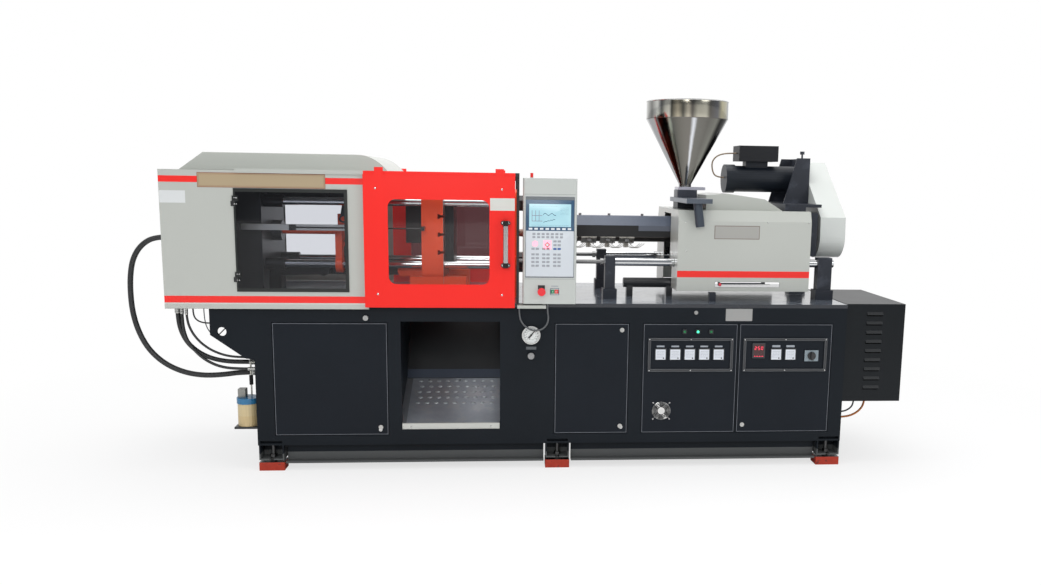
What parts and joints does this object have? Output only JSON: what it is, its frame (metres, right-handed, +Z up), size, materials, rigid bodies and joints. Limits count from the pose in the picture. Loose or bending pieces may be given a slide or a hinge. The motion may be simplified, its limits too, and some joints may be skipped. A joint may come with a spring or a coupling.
{
  "type": "injection moulding machine",
  "caption": "Horizontal injection moulding machine with a toggle clamp, sliding guard doors, reciprocating screw unit, round hopper, operator panel and a cabinet bed",
  "frame": {"origin": "on the floor under the middle of the machine, level with the undersides of the levelling pads", "axes": "+X along the machine from the clamp end to the drive end, +Y away from the operator, +Z up"},
  "size_m": [4.7787, 1.346, 2.29],
  "materials": {
    "cover_grey": "matte",
    "panel_grey": "satin",
    "guard_red": "gloss",
    "bed_blue": "gloss",
    "unit_blue": "satin",
    "platen_orange": "satin",
    "machine_black": "satin",
    "motor_grey": "satin",
    "hard_chrome": "polished",
    "bright_steel": "satin",
    "bare_aluminium": "satin",
    "pane": "clear",
    "black_plastic": "matte",
    "red_plastic": "gloss",
    "cream_plastic": "satin",
    "hose_rubber": "matte"
  },
  "bodies": {
    "bed": {"bed_frame": "bed_blue", "table_top": "bed_blue", "levelling_feet": "platen_orange", "chute_plate": "bright_steel", "side_cabinet": "cover_grey", "pump_motor": "machine_black", "pressure_gauge": "bright_steel", "stationary_platen": "platen_orange", "rear_platen": "platen_orange", "tie_bars": "hard_chrome", "clamp_cylinder": "machine_black", "linear_transducer": "bare_aluminium", "clamp_cover": "cover_grey", "clamp_roof": "cover_grey", "guard_frame": "panel_grey", "guide_rods": "hard_chrome", "rod_pedestals": "machine_black", "carriage_cylinder": "bright_steel", "lubrication_unit": "cream_plastic", "hydraulic_hoses": "hose_rubber", "cables": "hose_rubber"},
    "gauge_needle": {"gauge_needle": "black_plastic"},
    "gauge_valve": {"gauge_valve": "bright_steel"},
    "left_door": {"left_door": "bed_blue"},
    "middle_door": {"middle_door": "bed_blue"},
    "cabinet_door_left": {"cabinet_door_left": "bed_blue", "left_instruments": "black_plastic"},
    "fan_rotor": {"fan_rotor": "black_plastic"},
    "cabinet_door_right": {"cabinet_door_right": "bed_blue", "right_instruments": "black_plastic"},
    "isolator_handle": {"isolator_handle": "red_plastic"},
    "moving_platen": {"moving_platen": "platen_orange"},
    "ejector_rod": {"ejector_rod": "hard_chrome"},
    "crosshead": {"crosshead": "machine_black"},
    "rear_link_upper": {"rear_link_upper": "platen_orange"},
    "rear_link_lower": {"rear_link_lower": "platen_orange"},
    "front_link_upper": {"front_link_upper": "platen_orange"},
    "front_link_lower": {"front_link_lower": "platen_orange"},
    "crosshead_link_upper": {"crosshead_link_upper": "bright_steel"},
    "crosshead_link_lower": {"crosshead_link_lower": "bright_steel"},
    "clamp_window": {"clamp_window": "pane"},
    "safety_door": {"safety_door": "guard_red", "door_pane": "pane"},
    "rear_door": {"rear_door": "guard_red"},
    "controller_cabinet": {"controller_cabinet": "panel_grey"},
    "emergency_stop": {"emergency_stop": "red_plastic"},
    "power_rocker": {"power_rocker": "black_plastic"},
    "carriage": {"carriage": "machine_black", "barrel": "bright_steel", "barrel_guard": "bed_blue", "injection_cover": "unit_blue", "hopper_base": "machine_black"},
    "hopper": {"hopper": "bright_steel"},
    "injection_housing": {"injection_housing": "machine_black", "motor": "motor_grey", "belt_guard": "cover_grey", "drive_belt": "hose_rubber", "motor_cable": "hose_rubber"},
    "screw": {"screw": "bright_steel"},
    "motor_pulley": {"motor_pulley": "bare_aluminium"}
  },
  "joints": [
    {"name": "platen_slide", "type": "slide", "parent": "bed", "child": "moving_platen", "axis": [1, 0, 0], "range_m": [-0.2731, 0]},
    {"name": "ejector_slide", "type": "slide", "parent": "moving_platen", "child": "ejector_rod", "axis": [1, 0, 0], "range_m": [0, 0.08]},
    {"name": "crosshead_slide", "type": "slide", "parent": "bed", "child": "crosshead", "axis": [1, 0, 0], "range_m": [-0.28, 0]},
    {"name": "rear_upper_pivot", "type": "hinge", "parent": "bed", "child": "rear_link_upper", "pos_m": [-1.42, 0, 1.665], "axis": [0, 1, 0], "range_deg": [0, 90]},
    {"name": "rear_lower_pivot", "type": "hinge", "parent": "bed", "child": "rear_link_lower", "pos_m": [-1.42, 0, 1.185], "axis": [0, 1, 0], "range_deg": [-90, 0]},
    {"name": "front_upper_pivot", "type": "hinge", "parent": "moving_platen", "child": "front_link_upper", "pos_m": [-0.91, 0, 1.665], "axis": [0, 1, 0], "range_deg": [-40.18, 0]},
    {"name": "front_lower_pivot", "type": "hinge", "parent": "moving_platen", "child": "front_link_lower", "pos_m": [-0.91, 0, 1.185], "axis": [0, 1, 0], "range_deg": [0, 40.18]},
    {"name": "crosshead_upper_pivot", "type": "hinge", "parent": "crosshead", "child": "crosshead_link_upper", "pos_m": [-1.3, 0, 1.505], "axis": [0, 1, 0], "range_deg": [0, 70.26]},
    {"name": "crosshead_lower_pivot", "type": "hinge", "parent": "crosshead", "child": "crosshead_link_lower", "pos_m": [-1.3, 0, 1.345], "axis": [0, 1, 0], "range_deg": [-70.26, 0]},
    {"name": "safety_door_slide", "type": "slide", "parent": "bed", "child": "safety_door", "axis": [1, 0, 0], "range_m": [-0.7, 0]},
    {"name": "rear_door_slide", "type": "slide", "parent": "bed", "child": "rear_door", "axis": [1, 0, 0], "range_m": [-0.7, 0]},
    {"name": "clamp_window_hinge", "type": "hinge", "parent": "bed", "child": "clamp_window", "pos_m": [-1.824, -0.591, 1.4], "axis": [0, 0, -1], "range_deg": [0, 120]},
    {"name": "panel_pivot", "type": "hinge", "parent": "bed", "child": "controller_cabinet", "pos_m": [-0.11, -0.545, 1.05], "axis": [0, 0, 1], "range_deg": [-75, 20]},
    {"name": "stop_push", "type": "slide", "parent": "controller_cabinet", "child": "emergency_stop", "axis": [0, 1, 0], "range_m": [0, 0.004], "stiffness_N_per_m": 1500},
    {"name": "rocker_tilt", "type": "hinge", "parent": "controller_cabinet", "child": "power_rocker", "pos_m": [0.031, -0.59, 1.112], "axis": [0, 0, 1], "range_deg": [-8, 8]},
    {"name": "left_door_hinge", "type": "hinge", "parent": "bed", "child": "left_door", "pos_m": [-1.635, -0.543, 0.565], "axis": [0, 0, 1], "range_deg": [-110, 0]},
    {"name": "middle_door_hinge", "type": "hinge", "parent": "bed", "child": "middle_door", "pos_m": [0.048, -0.543, 0.565], "axis": [0, 0, 1], "range_deg": [-110, 0]},
    {"name": "cabinet_left_hinge", "type": "hinge", "parent": "bed", "child": "cabinet_door_left", "pos_m": [0.591, -0.543, 0.565], "axis": [0, 0, 1], "range_deg": [-110, 0]},
    {"name": "cabinet_right_hinge", "type": "hinge", "parent": "bed", "child": "cabinet_door_right", "pos_m": [1.768, -0.543, 0.565], "axis": [0, 0, 1], "range_deg": [0, 110]},
    {"name": "fan_spin", "type": "hinge", "parent": "cabinet_door_left", "child": "fan_rotor", "pos_m": [0.706, -0.52, 0.362], "axis": [0, 1, 0], "continuous": true},
    {"name": "isolator_turn", "type": "hinge", "parent": "cabinet_door_right", "child": "isolator_handle", "pos_m": [1.647, -0.56, 0.711], "axis": [0, 1, 0], "range_deg": [0, 90]},
    {"name": "gauge_needle_turn", "type": "hinge", "parent": "bed", "child": "gauge_needle", "pos_m": [-0.107, -0.575, 0.842], "axis": [0, 1, 0], "range_deg": [0, 240], "stiffness_Nm_per_rad": 0.02},
    {"name": "gauge_valve_turn", "type": "hinge", "parent": "bed", "child": "gauge_valve", "pos_m": [-0.107, -0.57, 0.715], "axis": [0, 1, 0], "range_deg": [-270, 270]},
    {"name": "carriage_slide", "type": "slide", "parent": "bed", "child": "carriage", "axis": [1, 0, 0], "range_m": [0, 0.11]},
    {"name": "hopper_slide", "type": "slide", "parent": "carriage", "child": "hopper", "axis": [0, 1, 0], "range_m": [-0.43, 0]},
    {"name": "injection_slide", "type": "slide", "parent": "carriage", "child": "injection_housing", "axis": [1, 0, 0], "range_m": [0, 0.18]},
    {"name": "screw_spin", "type": "hinge", "parent": "injection_housing", "child": "screw", "pos_m": [1.7, 0, 1.425], "axis": [1, 0, 0], "continuous": true},
    {"name": "pulley_spin", "type": "hinge", "parent": "injection_housing", "child": "motor_pulley", "pos_m": [1.88, 0.32, 1.8], "axis": [1, 0, 0], "continuous": true}
  ],
  "couplings": [
    {"joint": "crosshead_slide", "follows": "platen_slide", "ratio": 1.0253},
    {"joint": "rear_upper_pivot", "follows": "platen_slide", "rad_per_m": -5.7517},
    {"joint": "rear_lower_pivot", "follows": "platen_slide", "rad_per_m": 5.7517},
    {"joint": "front_upper_pivot", "follows": "platen_slide", "rad_per_m": 2.5678},
    {"joint": "front_lower_pivot", "follows": "platen_slide", "rad_per_m": -2.5678},
    {"joint": "crosshead_upper_pivot", "follows": "platen_slide", "rad_per_m": -4.4902},
    {"joint": "crosshead_lower_pivot", "follows": "platen_slide", "rad_per_m": 4.4902},
    {"joint": "pulley_spin", "follows": "screw_spin", "ratio": 2.3333}
  ]
}
